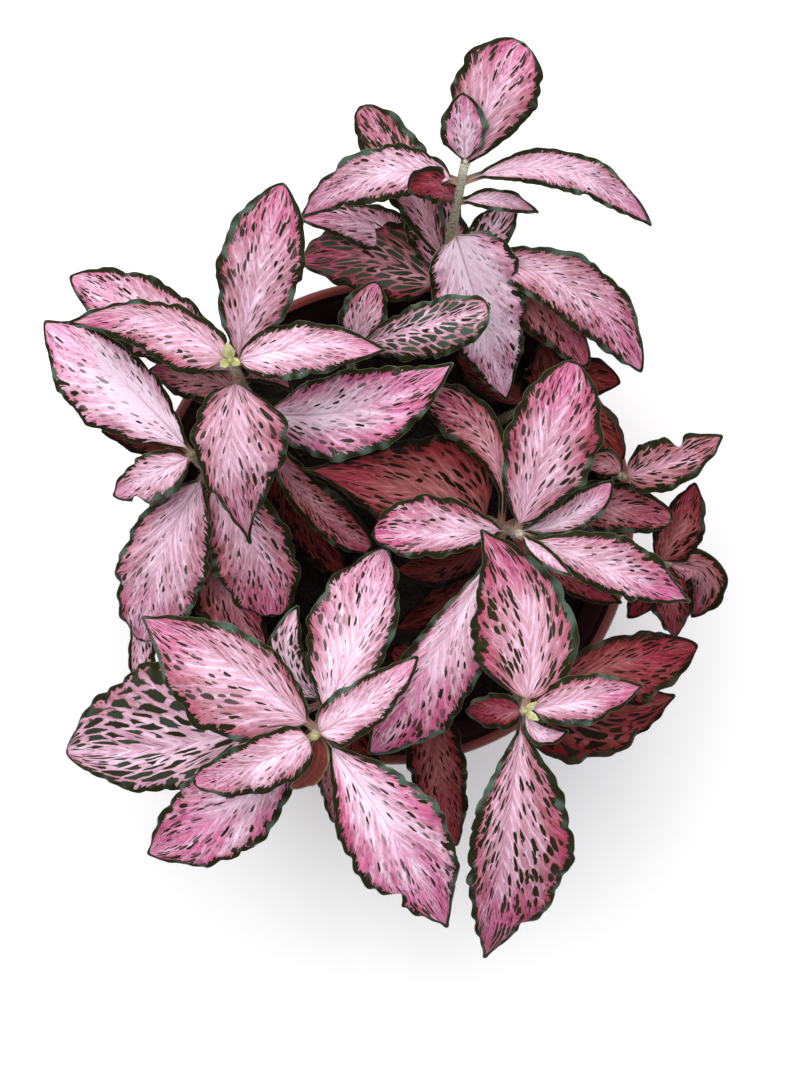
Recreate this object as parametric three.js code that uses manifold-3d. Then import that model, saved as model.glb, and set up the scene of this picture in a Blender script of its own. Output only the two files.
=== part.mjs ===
// A potted nerve plant: leafy stems with waved pink leaves, compost and a plastic nursery pot.
// Millimetres, +Z up. The origin is the middle of the underside of the pot.
import * as THREE from 'three';
import { mergeVertices } from 'three/addons/utils/BufferGeometryUtils.js';
import Module from 'manifold-3d';

const wasm = await Module();
wasm.setup();

// Pot
const POT_HEIGHT = 100;
const RIM_RADIUS = 60;
const BASE_RADIUS = 43;
const POT_WALL = 1.6;
const POT_FLOOR = 2.4;
const LIP_HEIGHT = 13;
const LIP_WIDTH = 2.4;
const LIP_STEP = 1.6;
const DRAIN_HOLES = 4;
const DRAIN_RADIUS = 5;
const DRAIN_CIRCLE = 27;
const POT_SIDES = 32;

// Compost
const FIT_GAP = 0.3;
const SOIL_TOP = 80;
const SOIL_LUMP = 0.6;
const SOIL_SIDES = 24;

// Stems
const STEM_RADIUS = 1.4;
const STEM_FOOT = 62;
const STEM_HOLE_RADIUS = 2.4;
const SOIL_CLEAR = 2;
const BUD_RADIUS = 1.7;

// Leaves
const BLADE_THICKNESS = 0.8;
const STALK_THICKNESS = 1.6;
const STALK_HALF_WIDTH = 0.9;
const TIP_HALF_WIDTH = 0.3;
const STALK_SHARE = 0.08;
const WAVE_HEIGHT = 0.7;
const WAVE_WIDTH = 0.035;
const FOLD = 0.22;
const CURL = 0.16;
const LARGE_LEAF = 19;
const MEDIUM_LEAF = 12;

const POT_COLOUR = 0x8a3a30;
const SOIL_COLOUR = 0x2b1a14;

const up = new THREE.Vector3(0, 0, 1);

function solid(geometry) {
  const bare = new THREE.BufferGeometry();
  bare.setAttribute('position', geometry.getAttribute('position').clone());
  if (geometry.index) bare.setIndex(geometry.index.clone());
  const merged = mergeVertices(bare, 1e-4);
  const mesh = new wasm.Mesh({
    numProp: 3,
    vertProperties: new Float32Array(merged.getAttribute('position').array),
    triVerts: new Uint32Array(merged.index.array),
  });
  mesh.merge();
  return new wasm.Manifold(mesh);
}

function namedMesh(name, body, colour, roughness) {
  const mesh = body.getMesh();
  const geometry = new THREE.BufferGeometry();
  geometry.setAttribute('position', new THREE.BufferAttribute(new Float32Array(mesh.vertProperties), 3));
  geometry.setIndex(new THREE.BufferAttribute(new Uint32Array(mesh.triVerts), 1));
  geometry.computeVertexNormals();
  const material = new THREE.MeshStandardMaterial({ color: colour, roughness, metalness: 0 });
  const node = new THREE.Mesh(geometry, material);
  node.name = name;
  return node;
}

// A profile of [radius, height] pairs turned about the +Z axis
function turned(profile, sides) {
  const points = profile.map(([radius, height]) => new THREE.Vector2(radius, height));
  const geometry = new THREE.LatheGeometry(points, sides);
  geometry.rotateX(Math.PI / 2);
  return geometry;
}

function cylinder(x, y, bottom, top, radius, sides) {
  const geometry = new THREE.CylinderGeometry(radius, radius, top - bottom, sides);
  geometry.rotateX(Math.PI / 2);
  geometry.translate(x, y, (top + bottom) / 2);
  return solid(geometry);
}

// Outside radius of the tapered wall at a height
function wallRadius(height) {
  const share = height / (POT_HEIGHT - LIP_HEIGHT);
  return BASE_RADIUS + (RIM_RADIUS - LIP_STEP - POT_WALL - BASE_RADIUS) * share;
}

function pot() {
  const lipFoot = POT_HEIGHT - LIP_HEIGHT;
  const profile = [
    [0, 0],
    [BASE_RADIUS - 1.5, 0],
    [BASE_RADIUS, 1.5],
    [wallRadius(lipFoot), lipFoot],
    [RIM_RADIUS - 0.8, lipFoot + 0.6],
    [RIM_RADIUS - 0.4, POT_HEIGHT - 3],
    [RIM_RADIUS, POT_HEIGHT - 2],
    [RIM_RADIUS - 0.6, POT_HEIGHT - 0.3],
    [RIM_RADIUS - LIP_WIDTH / 2, POT_HEIGHT],
    [RIM_RADIUS - LIP_WIDTH, POT_HEIGHT - 0.6],
    [RIM_RADIUS - LIP_WIDTH - 0.2, lipFoot + 2],
    [wallRadius(lipFoot) - POT_WALL, lipFoot - 1],
    [wallRadius(POT_FLOOR) - POT_WALL, POT_FLOOR],
    [0, POT_FLOOR],
  ];
  let body = solid(turned(profile, POT_SIDES));
  for (let k = 0; k < DRAIN_HOLES; k++) {
    const angle = ((k + 0.5) / DRAIN_HOLES) * 2 * Math.PI;
    const x = DRAIN_CIRCLE * Math.cos(angle);
    const y = DRAIN_CIRCLE * Math.sin(angle);
    body = body.subtract(cylinder(x, y, -1, POT_FLOOR + 1, DRAIN_RADIUS, 10));
  }
  return body;
}

function compost(sprays) {
  const inside = (height) => wallRadius(height) - POT_WALL - FIT_GAP - 0.3;
  const profile = [
    [0, POT_FLOOR + FIT_GAP],
    [inside(POT_FLOOR), POT_FLOOR + FIT_GAP],
    [inside(SOIL_TOP - 2), SOIL_TOP - 2],
    [48, SOIL_TOP],
    [38, SOIL_TOP - 0.8],
    [27, SOIL_TOP + 0.4],
    [16, SOIL_TOP - 0.4],
    [7, SOIL_TOP + 0.3],
    [0, SOIL_TOP],
  ];
  const geometry = turned(profile, SOIL_SIDES);
  const position = geometry.getAttribute('position');
  for (let i = 0; i < position.count; i++) {
    const x = position.getX(i);
    const y = position.getY(i);
    const radius = Math.hypot(x, y);
    if (position.getZ(i) < SOIL_TOP - 1.5 || radius < 1) continue;
    const lump = Math.sin(0.31 * x + 0.17 * y) * Math.cos(0.23 * y - 0.11 * x);
    position.setZ(i, position.getZ(i) + SOIL_LUMP * lump);
  }
  let body = solid(geometry);
  for (const spray of sprays) {
    const [x, y] = spray.root;
    body = body.subtract(cylinder(x, y, STEM_FOOT - FIT_GAP, SOIL_TOP + 6, STEM_HOLE_RADIUS, 8));
  }
  return body;
}

// The line that a stem follows above the compost: from its root towards its bend and on to its tip
function stemLine(spray) {
  const [x, y] = spray.root;
  return new THREE.QuadraticBezierCurve3(
    new THREE.Vector3(x, y, SOIL_TOP + SOIL_CLEAR),
    new THREE.Vector3(...spray.bend),
    new THREE.Vector3(...spray.tip),
  );
}

function stem(spray) {
  const [x, y] = spray.root;
  const line = stemLine(spray);
  const path = new THREE.CurvePath();
  path.add(new THREE.LineCurve3(new THREE.Vector3(x, y, STEM_FOOT), line.v0));
  path.add(line);
  const section = new THREE.Shape();
  section.absarc(0, 0, STEM_RADIUS, 0, 2 * Math.PI);
  const tube = new THREE.ExtrudeGeometry(section, { steps: 10, curveSegments: 3, extrudePath: path });
  const bud = new THREE.SphereGeometry(BUD_RADIUS, 6, 4);
  bud.scale(1, 1, 1.4);
  bud.translate(...spray.tip);
  return solid(tube).add(solid(bud));
}

// One leaf: share of the stem that it grows at, where its tip is, its width, the height of its arch,
// its bow to the left, where along it is widest, how pointed its ends are, how much its left half is wider
// than its right half, and the angle that it has rolled over by at its tip
function leaf(at, x, y, z, wide, arch, bow, widest, taper, skew = 0, roll = 0) {
  return { at, tip: new THREE.Vector3(x, y, z), wide, arch, bow, widest, taper, skew, roll };
}

function halfWidth(blade, along, across, wave) {
  const { wide, widest, taper, skew } = blade;
  const share = Math.max(0, (along - STALK_SHARE) / (1 - STALK_SHARE));
  const fullness = ((share / widest) ** widest * ((1 - share) / (1 - widest)) ** (1 - widest)) ** taper;
  const least = along < 0.5 ? STALK_HALF_WIDTH : TIP_HALF_WIDTH;
  const half = (wide / 2) * fullness * (1 + Math.sign(across) * skew) * (1 + WAVE_WIDTH * wave);
  return { fullness, half: Math.max(least, half) };
}

// The middle line of a leaf at a share of its length, with the directions across it and out of it
function leafLine(base, blade, along) {
  const run = blade.tip.clone().sub(base);
  const flat = Math.hypot(run.x, run.y);
  const ahead = new THREE.Vector3(run.x / flat, run.y / flat, 0);
  const aside = new THREE.Vector3(-ahead.y, ahead.x, 0);
  const hump = 4 * along * (1 - along);
  const slope = 4 * (1 - 2 * along);
  const point = base.clone()
    .addScaledVector(ahead, flat * along)
    .addScaledVector(aside, blade.bow * hump)
    .addScaledVector(up, run.z * along + blade.arch * hump);
  const heading = ahead.clone().multiplyScalar(flat)
    .addScaledVector(aside, blade.bow * slope)
    .addScaledVector(up, run.z + blade.arch * slope)
    .normalize();
  const level = new THREE.Vector3(-heading.y, heading.x, 0).normalize();
  const lift = heading.clone().cross(level);
  const turn = THREE.MathUtils.degToRad(blade.roll) * (0.35 + 0.65 * along);
  const side = level.clone().multiplyScalar(Math.cos(turn)).addScaledVector(lift, Math.sin(turn));
  const out = lift.clone().multiplyScalar(Math.cos(turn)).addScaledVector(level, -Math.sin(turn));
  return { point, side, out };
}

function leafPoint(base, blade, waves, across, along) {
  const { point, side, out } = leafLine(base, blade, along);
  const wave = Math.cos(2 * Math.PI * waves * along) * across;
  const { fullness, half } = halfWidth(blade, along, across, wave * Math.abs(across));
  const spread = Math.abs(across);
  const height = FOLD * spread * half - CURL * spread ** 3 * half + WAVE_HEIGHT * wave * spread * fullness;
  point.addScaledVector(side, across * half).addScaledVector(out, height);
  const stalk = Math.max(0, 1 - along / (1.6 * STALK_SHARE));
  const thickness = BLADE_THICKNESS + (STALK_THICKNESS - BLADE_THICKNESS) * stalk;
  return { point, out: out.multiplyScalar(thickness / 2) };
}

// A blade of even thickness: the same triangles above and below, and a wall round its edge
function leafBody(line, blade) {
  const base = line.getPoint(blade.at);
  const waves = blade.wide >= MEDIUM_LEAF ? 4 : 3;
  const rows = 2 * waves;
  const columns = blade.wide >= LARGE_LEAF ? 4 : 2;
  const grid = new THREE.PlaneGeometry(2, 1, columns, rows);
  const flat = grid.getAttribute('position');
  const count = flat.count;
  const positions = new Float32Array(6 * count);
  for (let i = 0; i < count; i++) {
    const { point, out } = leafPoint(base, blade, waves, flat.getX(i), 0.5 - flat.getY(i));
    point.clone().add(out).toArray(positions, 3 * i);
    point.clone().sub(out).toArray(positions, 3 * (count + i));
  }
  const triangles = [];
  const above = Array.from(grid.index.array);
  for (let i = 0; i < above.length; i += 3) {
    const [a, b, c] = above.slice(i, i + 3);
    triangles.push(a, b, c, count + a, count + c, count + b);
  }
  const rim = edgeLoop(columns, rows);
  rim.forEach((a, i) => {
    const b = rim[(i + 1) % rim.length];
    triangles.push(a, b, count + b, a, count + b, count + a);
  });
  const geometry = new THREE.BufferGeometry();
  geometry.setAttribute('position', new THREE.BufferAttribute(positions, 3));
  geometry.setIndex(triangles);
  return solid(geometry);
}

function edgeLoop(columns, rows) {
  const stride = columns + 1;
  const loop = [];
  for (let i = 0; i < columns; i++) loop.push(i);
  for (let i = 0; i < rows; i++) loop.push(columns + i * stride);
  for (let i = columns; i > 0; i--) loop.push(rows * stride + i);
  for (let i = rows; i > 0; i--) loop.push(i * stride);
  return loop;
}

function leafyStem(spray) {
  const line = stemLine(spray);
  let body = stem(spray);
  for (const blade of spray.leaves) body = body.add(leafBody(line, blade));
  return body;
}

// The leafy stems, each with its leaves from the top down
const backStem = {
  name: 'stem_back',
  colour: 0xb0637c,
  root: [10, 46],
  bend: [10, 46, 128],
  tip: [16, 76, 172],
  leaves: [
    leaf(1.00, 15, 88, 186, 10, 1, 0, 0.46, 1.5),
    leaf(0.97, 28, 99, 182, 18, 4, 1, 0.6, 1.5),
    leaf(0.94, -20, 69, 142, 12, 10, -4, 0.43, 1.5),
    leaf(0.94, 59, 67, 142, 9, 9, 6, 0.51, 1.7),
    leaf(0.88, 33, 69, 148, 5, 4, 1, 0.47, 1.6),
    leaf(0.88, 4, 70, 171, 8, 3, -2, 0.5, 1.2),
    leaf(0.80, 28, 30, 107, 21, 1, 0, 0.3, 1.2, 0.1),
    leaf(0.62, -7, 93, 146, 13, 3, -2, 0.6, 1.4),
    leaf(0.56, 3, 76, 142, 14, 2, -3, 0.45, 1.4),
    leaf(0.50, -21, 70, 130, 11, 2, -6, 0.45, 1.4),
    leaf(0.54, -21, 62, 120, 18, 5, -3, 0.35, 0.9),
    leaf(0.62, 60, 36, 114, 15, 8, 9, 0.57, 1.9),
    leaf(0.50, 47, 37, 116, 12, 4, 8, 0.55, 1.4, -0.2),
    leaf(0.60, 28, 74, 138, 10, 2, -2, 0.45, 1.4),
  ],
};

const leftStem = {
  name: 'stem_left',
  colour: 0xb8688a,
  root: [-30, 19],
  bend: [-32, 28, 132],
  tip: [-34, 34, 170],
  leaves: [
    leaf(0.97, -1, 37, 162, 12, 3, 2, 0.36, 1.4, -0.1),
    leaf(0.96, -70, 43, 160, 13, 4, -5, 0.25, 1.2, 0.3),
    leaf(0.88, -22, 70, 182, 18, 4, 0, 0.54, 1.7),
    leaf(0.80, -72, 55, 145, 17, 3, -1, 0.5, 1.6),
    leaf(0.84, -32, -5, 138, 21, 9, -2, 0.32, 2.1, 0.2),
    leaf(0.42, 14, 35, 152, 20, 3, -5, 0.42, 1.8, -0.1),
    leaf(0.76, -22, 29, 148, 5, 1, 3, 0.45, 1.4),
    leaf(0.60, -56, 35, 130, 11, 3, -1, 0.45, 1.4),
    leaf(0.50, -5, -7, 112, 10, 4, -4, 0.69, 1.8, 0.2),
    leaf(0.38, -11, -14, 100, 14, 3, -2, 0.45, 1.4),
  ],
};

const lowLeftStem = {
  name: 'stem_left_low',
  colour: 0xb56c88,
  root: [-37, 3],
  bend: [-42, 11, 122],
  tip: [-45, 15, 142],
  leaves: [
    leaf(0.98, -64, 6, 132, 11, 3, 0, 0.43, 1.4, 0.1),
    leaf(0.90, -78, 45, 144, 19, 4, -2, 0.53, 1.9, 0.3),
    leaf(0.78, -67, 21, 130, 9, 2, -2, 0.45, 1.4),
    leaf(0.68, -61, -29, 104, 21, 6, -2, 0.54, 1.5, 0.1),
    leaf(0.62, -29, -23, 105, 20, 4, 3, 0.54, 1, -0.1),
    leaf(0.46, -62, -45, 92, 7, 4, -7, 0.64, 0.8, 0.2),
    leaf(0.44, -31, -33, 98, 18, 3, -5, 0.45, 1.4),
  ],
};

const middleStem = {
  name: 'stem_middle',
  colour: 0xb46480,
  root: [17, 4],
  bend: [27, -2, 128],
  tip: [28, -3, 168],
  leaves: [
    leaf(1.00, 39, -12, 171, 4, 1, 0, 0.4, 1.5, -0.2),
    leaf(0.74, -4, -3, 146, 14, 4, 0, 0.58, 1.5, -0.2),
    leaf(0.94, 67, -18, 148, 13, 5, 0, 0.51, 2.4, 0.2),
    leaf(0.88, 39, 34, 172, 20, 3, 0, 0.52, 1.4, -0.1),
    leaf(0.76, 50, 9, 146, 8, 3, -3, 0.58, 1.9, 0.1),
    leaf(0.60, 65, 0, 133, 12, 3, 4, 0.58, 1.3),
    leaf(0.60, 54, -19, 126, 7, 2, -2, 0.45, 1.4),
    leaf(0.56, 8, 30, 128, 12, 4, -7, 0.72, 2.1, 0.1),
    leaf(0.66, -5, -54, 128, 18, 6, 1, 0.63, 2.4, 0.3),
    leaf(0.46, -21, 12, 134, 27, 2, -2, 0.25, 2, -0.1),
    leaf(0.52, 1, -11, 120, 10, 3, 4, 0.45, 1.4),
    leaf(0.40, 1, -26, 106, 12, 3, 5, 0.45, 1.4),
  ],
};

const frontRightStem = {
  name: 'stem_front_right',
  colour: 0xa85672,
  root: [26, -27],
  bend: [29, -39, 132],
  tip: [29, -41, 166],
  leaves: [
    leaf(0.98, 39, -46, 158, 5, 1, -3, 0.45, 1.4),
    leaf(0.98, 17, -42, 153, 8, 2, 0, 0.4, 1.1),
    leaf(0.97, 55, -36, 160, 11, 4, 0, 0.42, 1.7),
    leaf(0.98, 20, -2, 156, 23, 3, -5, 0.34, 1.6, 0.1),
    leaf(0.90, 22, -102, 126, 23, 11, 0, 0.49, 2.4, 0.3),
    leaf(0.74, 69, -28, 146, 16, 4, 1, 0.54, 1.7, -0.2),
    leaf(0.62, 67, -41, 122, 25, 4, -4, 0.31, 1.6),
  ],
};

const frontLeftStem = {
  name: 'stem_front_left',
  colour: 0xb8688a,
  root: [-12, -30],
  bend: [-15, -44, 132],
  tip: [-16, -46, 170],
  leaves: [
    leaf(0.98, 6, -29, 170, 11, 2, -1, 0.27, 1),
    leaf(0.97, -43, -57, 158, 12, 4, 1, 0.34, 0.8, 0.1),
    leaf(0.92, -22, -59, 152, 5, 3, 3, 0.44, 1.2),
    leaf(0.90, -54, -21, 160, 23, 3, -2, 0.43, 1.9, 0.3),
    leaf(0.88, 13, -93, 136, 23, 8, 2, 0.51, 2.4),
    leaf(0.78, -1, -6, 140, 19, 5, -1, 0.51, 1.7, 0.2),
    leaf(0.74, -57, -78, 124, 21, 5, 3, 0.58, 2.3),
    leaf(0.70, -11, -72, 130, 7, 3, 0, 0.5, 1.4),
    leaf(0.54, -79, -56, 106, 31, 6, 3, 0.51, 1.5, -0.3),
    leaf(0.44, -4, -84, 106, 10, 4, 3, 0.45, 1.4),
    leaf(0.54, -22, -20, 120, 9, 2, 6, 0.45, 1.4),
  ],
};

const rightStem = {
  name: 'stem_right',
  colour: 0x9c5664,
  root: [40, 17],
  bend: [40, 17, 118],
  tip: [53, 10, 142],
  leaves: [
    leaf(0.99, 74, 19, 150, 12, 3, -1, 0.31, 1.2),
    leaf(0.98, 44, 12, 140, 7, 1, -2, 0.45, 1.4),
  ],
};

const lowRightStem = {
  name: 'stem_right_low',
  colour: 0x8c4052,
  root: [44, -8],
  bend: [44, -8, 116],
  tip: [66, -10, 121],
  leaves: [
    leaf(0.94, 71, 9, 128, 11, 3, 0, 0.35, 1.2, -0.2),
    leaf(0.94, 69, -28, 106, 11, 3, 1, 0.39, 1.5),
    leaf(0.96, 73, -23, 108, 12, 5, 6, 0.44, 1.4, 0.1, 60),
    leaf(0.80, 57, -23, 112, 8, 2, 3, 0.45, 1.4),
  ],
};

const lowBackStem = {
  name: 'stem_back_low',
  colour: 0x88607a,
  root: [-10, 34],
  bend: [-10, 34, 108],
  tip: [-9, 41, 128],
  leaves: [
    leaf(0.96, 22, 47, 155, 13, 4, 0, 0.61, 1.2, -0.2),
    leaf(0.96, -3, 55, 136, 11, 3, 0, 0.43, 1.4),
  ],
};

const lowBackRightStem = {
  name: 'stem_back_right',
  colour: 0x6e3a44,
  root: [28, 26],
  bend: [28, 26, 96],
  tip: [36, 30, 101],
  leaves: [
    leaf(0.95, 56, 34, 104, 12, 3, 3, 0.45, 1.4),
    leaf(0.95, 56, 15, 111, 11, 4, 3, 0.45, 1.4),
    leaf(0.80, 16, 42, 93, 10, 3, 0, 0.45, 1.4),
    leaf(0.85, 36, 43, 105, 11, 3, -3, 0.45, 1.4),
  ],
};

const lowFrontStem = {
  name: 'stem_front_low',
  colour: 0x8a4654,
  root: [8, -34],
  bend: [8, -34, 104],
  tip: [9, -42, 116],
  leaves: [
    leaf(0.95, 16, -80, 98, 14, 4, -1, 0.39, 1.2),
    leaf(0.80, 0, -31, 106, 10, 3, -1, 0.45, 1.4),
  ],
};

const sprays = [
  backStem,
  leftStem,
  lowLeftStem,
  middleStem,
  frontRightStem,
  frontLeftStem,
  rightStem,
  lowRightStem,
  lowBackStem,
  lowBackRightStem,
  lowFrontStem,
];

const plant = new THREE.Group();
plant.name = 'potted_nerve_plant';
plant.add(namedMesh('pot', pot(), POT_COLOUR, 0.5));
plant.add(namedMesh('soil', compost(sprays), SOIL_COLOUR, 0.95));
for (const spray of sprays) plant.add(namedMesh(spray.name, leafyStem(spray), spray.colour, 0.55));

export default plant;
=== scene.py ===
import math
import random

import bmesh
import bpy
from mathutils import Matrix, Vector, noise


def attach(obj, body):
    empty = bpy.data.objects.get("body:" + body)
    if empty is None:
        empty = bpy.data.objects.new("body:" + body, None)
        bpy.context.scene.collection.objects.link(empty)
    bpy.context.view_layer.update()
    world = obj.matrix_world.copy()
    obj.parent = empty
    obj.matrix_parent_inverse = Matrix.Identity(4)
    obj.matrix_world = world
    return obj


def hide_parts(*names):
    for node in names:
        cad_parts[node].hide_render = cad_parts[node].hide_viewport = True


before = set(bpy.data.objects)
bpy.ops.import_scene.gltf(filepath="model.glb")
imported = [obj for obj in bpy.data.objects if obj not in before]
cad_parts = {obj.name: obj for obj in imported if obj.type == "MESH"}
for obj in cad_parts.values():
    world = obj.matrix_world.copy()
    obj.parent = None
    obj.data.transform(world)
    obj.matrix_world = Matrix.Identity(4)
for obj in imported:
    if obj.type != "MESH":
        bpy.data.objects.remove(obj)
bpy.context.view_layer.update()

# A potted nerve plant: pink leaves with dark green margins on eleven leafy stems, compost, and a nursery pot.
# Sizes are in millimetres in the dictionaries and turned to metres in the meshes.
mm = 0.001
scene = bpy.context.scene
print("frame loaded:", len(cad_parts), "nodes")


# Helpers for objects and meshes
def addObject(name, data):
    thing = bpy.data.objects.new(name, data)
    scene.collection.objects.link(thing)
    return thing


def meshObject(name, mesh):
    data = bpy.data.meshes.new(name)
    mesh.to_mesh(data)
    mesh.free()
    return addObject(name, data)


def facesOf(verts):
    return {face for vert in verts for face in vert.link_faces}


# Camera
# The photograph was taken from straight above, about 52 cm over the rim of the pot.
viewpoint = {"x": 2.2, "y": -2.8, "z": 620, "lens": 71.2, "sensor": 36, "nearest": 10, "farthest": 20000}


def placeCamera():
    lens = bpy.data.cameras.new("camera")
    lens.lens = viewpoint["lens"]
    lens.sensor_width = viewpoint["sensor"]
    lens.clip_start = viewpoint["nearest"] * mm
    lens.clip_end = viewpoint["farthest"] * mm
    camera = addObject("camera", lens)
    camera.location = (viewpoint["x"] * mm, viewpoint["y"] * mm, viewpoint["z"] * mm)
    scene.camera = camera


placeCamera()
print("camera placed")


# Helpers for building materials
def addNode(tree, kind, inputs=None, **settings):
    node = tree.nodes.new(kind)
    for key, value in settings.items():
        setattr(node, key, value)
    for key, value in (inputs or {}).items():
        if isinstance(value, bpy.types.NodeSocket):
            tree.links.new(value, node.inputs[key])
        else:
            node.inputs[key].default_value = value
    return node


def work(tree, operation, *values):
    return addNode(tree, "ShaderNodeMath", dict(enumerate(values)), operation=operation).outputs[0]


def times(tree, value, *others):
    for other in others:
        value = work(tree, "MULTIPLY", value, other)
    return value


def minus(tree, first, second):
    return work(tree, "SUBTRACT", first, second)


# The value times a factor, plus a start
def scaled(tree, value, factor, start):
    return work(tree, "MULTIPLY_ADD", value, factor, start)


# From 0 to 1 as the value goes from low to high, also where low is the larger one
def fade(tree, value, low, high):
    inputs = {0: value, 1: low, 2: high}
    return addNode(tree, "ShaderNodeMapRange", inputs, interpolation_type="SMOOTHSTEP").outputs[0]


def mixed(tree, share, first, second):
    return addNode(tree, "ShaderNodeMix", {0: share, 2: first, 3: second}, data_type="FLOAT").outputs[0]


def blend(tree, share, first, second, how="MIX"):
    inputs = {0: share, 6: rgba(first), 7: rgba(second)}
    return addNode(tree, "ShaderNodeMix", inputs, data_type="RGBA", blend_type=how).outputs[2]


def rgba(colour):
    return (*colour, 1) if isinstance(colour, tuple) and len(colour) == 3 else colour


def objectPlace(tree):
    return addNode(tree, "ShaderNodeTexCoord").outputs["Object"]


def split(tree, vector):
    return addNode(tree, "ShaderNodeSeparateXYZ", {0: vector}).outputs


def vectorWork(tree, operation, first, second):
    return addNode(tree, "ShaderNodeVectorMath", {0: first, 1: second}, operation=operation).outputs[0]


def stretched(tree, vector, x, y, z):
    return vectorWork(tree, "MULTIPLY", vector, (x, y, z))


def noiseAt(tree, vector, scale, detail=2, roughness=0.5, output=0):
    inputs = {"Vector": vector, "Scale": scale, "Detail": detail, "Roughness": roughness}
    return addNode(tree, "ShaderNodeTexNoise", inputs).outputs[output]


def cellAt(tree, vector, feature, output):
    inputs = {"Vector": vector, "Scale": 1.0}
    node = addNode(tree, "ShaderNodeTexVoronoi", inputs, voronoi_dimensions="2D", feature=feature)
    return node.outputs[output]


# Three random numbers for each cell
def cellDraws(tree, vector):
    return addNode(tree, "ShaderNodeSeparateColor", {0: cellAt(tree, vector, "F1", "Color")}).outputs


def ramp(tree, share, stops):
    node = addNode(tree, "ShaderNodeValToRGB", {0: share})
    band = node.color_ramp
    while len(band.elements) < len(stops):
        band.elements.new(0.5)
    for element, (place, colour) in zip(band.elements, stops):
        element.position = place
        element.color = rgba(colour)
    return node.outputs[0]


def bumped(tree, height, strength, distance):
    inputs = {"Height": height, "Strength": strength, "Distance": distance * mm}
    return addNode(tree, "ShaderNodeBump", inputs).outputs[0]


def newMaterial(name, **finish):
    material = bpy.data.materials.new(name)
    material.use_nodes = True
    shader = material.node_tree.nodes["Principled BSDF"]
    for socket, value in finish.items():
        shader.inputs[socket.replace("_", " ")].default_value = value
    return material, material.node_tree, shader


def feed(tree, shader, **sources):
    for socket, source in sources.items():
        tree.links.new(source, shader.inputs[socket.replace("_", " ")])


# Leaf skin
# Numbers along a leaf come from its own attributes: blade is across (-1 to 1), along (0 to 1) and the
# distance to the edge in mm; veins is the pattern's place across and along the side veins and the distance
# to the midrib in mm; look is paleness, greenness and heat; tone is painted shade, crest of a wave, and
# underside.
leafSkin = {
    "ramp": [
        (0.00, (0.058, 0.009, 0.006)),
        (0.15, (0.142, 0.026, 0.022)),
        (0.30, (0.240, 0.062, 0.064)),
        (0.45, (0.360, 0.128, 0.152)),
        (0.60, (0.478, 0.232, 0.298)),
        (0.75, (0.662, 0.384, 0.492)),
        (0.88, (0.838, 0.560, 0.705)),
        (1.00, (0.960, 0.750, 0.900)),
    ],
    "hotRamp": [
        (0.00, (0.090, 0.006, 0.010)),
        (0.30, (0.320, 0.040, 0.085)),
        (0.60, (0.590, 0.135, 0.290)),
        (1.00, (0.880, 0.440, 0.660)),
    ],
    "green": (0.016, 0.017, 0.005),
    "island": (0.021, 0.018, 0.005),
    "paleIsland": (0.210, 0.150, 0.165),
    # painted teal sheen, put in patches on the margins and on the islands of the greenest leaves
    "paintedSheen": (0.090, 0.150, 0.112),
    "edge": (0.220, 0.230, 0.120),
    "midrib": (0.330, 0.150, 0.190),
    "stalk": (0.330, 0.190, 0.150),
    # painted shade colour, multiplied into leaves deep in the plant
    "paintedShade": (0.460, 0.195, 0.135),
    "under": (0.190, 0.036, 0.028),
    "underVein": (0.340, 0.100, 0.080),
    "margin": 0.62,        # least width of the green margin
    "spike": 1.55,         # how far the pink runs in and out of it
    "gapShare": 0.80,      # how much of this follows the gaps between fine veins
    "swell": 1.60,         # how much its width changes along the leaf
    "edgeLine": 0.12,      # width of the pale line at the edge
    # what makes a place lighter or, below nought, darker
    "lightness": {"start": 0.12, "pale": 0.62, "middle": 0.30, "heat": -0.20, "streak": 0.08, "clouds": 0.60,
                  "ridge": 0.15, "lines": 0.07, "veins": 0.07},
    # what makes an island larger, and the width of the veins between close ones
    "islands": {"start": -0.21, "green": 0.34, "chance": 0.46, "outer": 0.13, "vein": 0.13},
    "dashes": {"start": -0.16, "chance": 0.55, "inner": 0.12, "outer": 0.75},
}


def leafAttributes(tree):
    values = {}
    names = {"blade": ("across", "along", "edge"), "veins": ("place", "reach", "fromRib"),
             "look": ("pale", "green", "heat"), "tone": ("paintedShade", "crest", "under")}
    for attribute, parts in names.items():
        vector = addNode(tree, "ShaderNodeAttribute", attribute_name=attribute).outputs["Vector"]
        values.update(zip(parts, split(tree, vector)))
    values["side"] = work(tree, "ABSOLUTE", values["across"])
    values["offRib"] = work(tree, "ABSOLUTE", values["fromRib"])
    return values


# The place in the vein pattern, bent a little so that no two veins run alike
def leafPattern(tree, leaf):
    flat = addNode(tree, "ShaderNodeCombineXYZ", {0: leaf["place"], 1: leaf["reach"], 2: 0.0}).outputs[0]
    wander = vectorWork(tree, "SUBTRACT", noiseAt(tree, flat, 1.1, output="Color"), (0.5, 0.5, 0.5))
    return flat, vectorWork(tree, "ADD", flat, stretched(tree, wander, 0.9, 0.7, 0))


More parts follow.
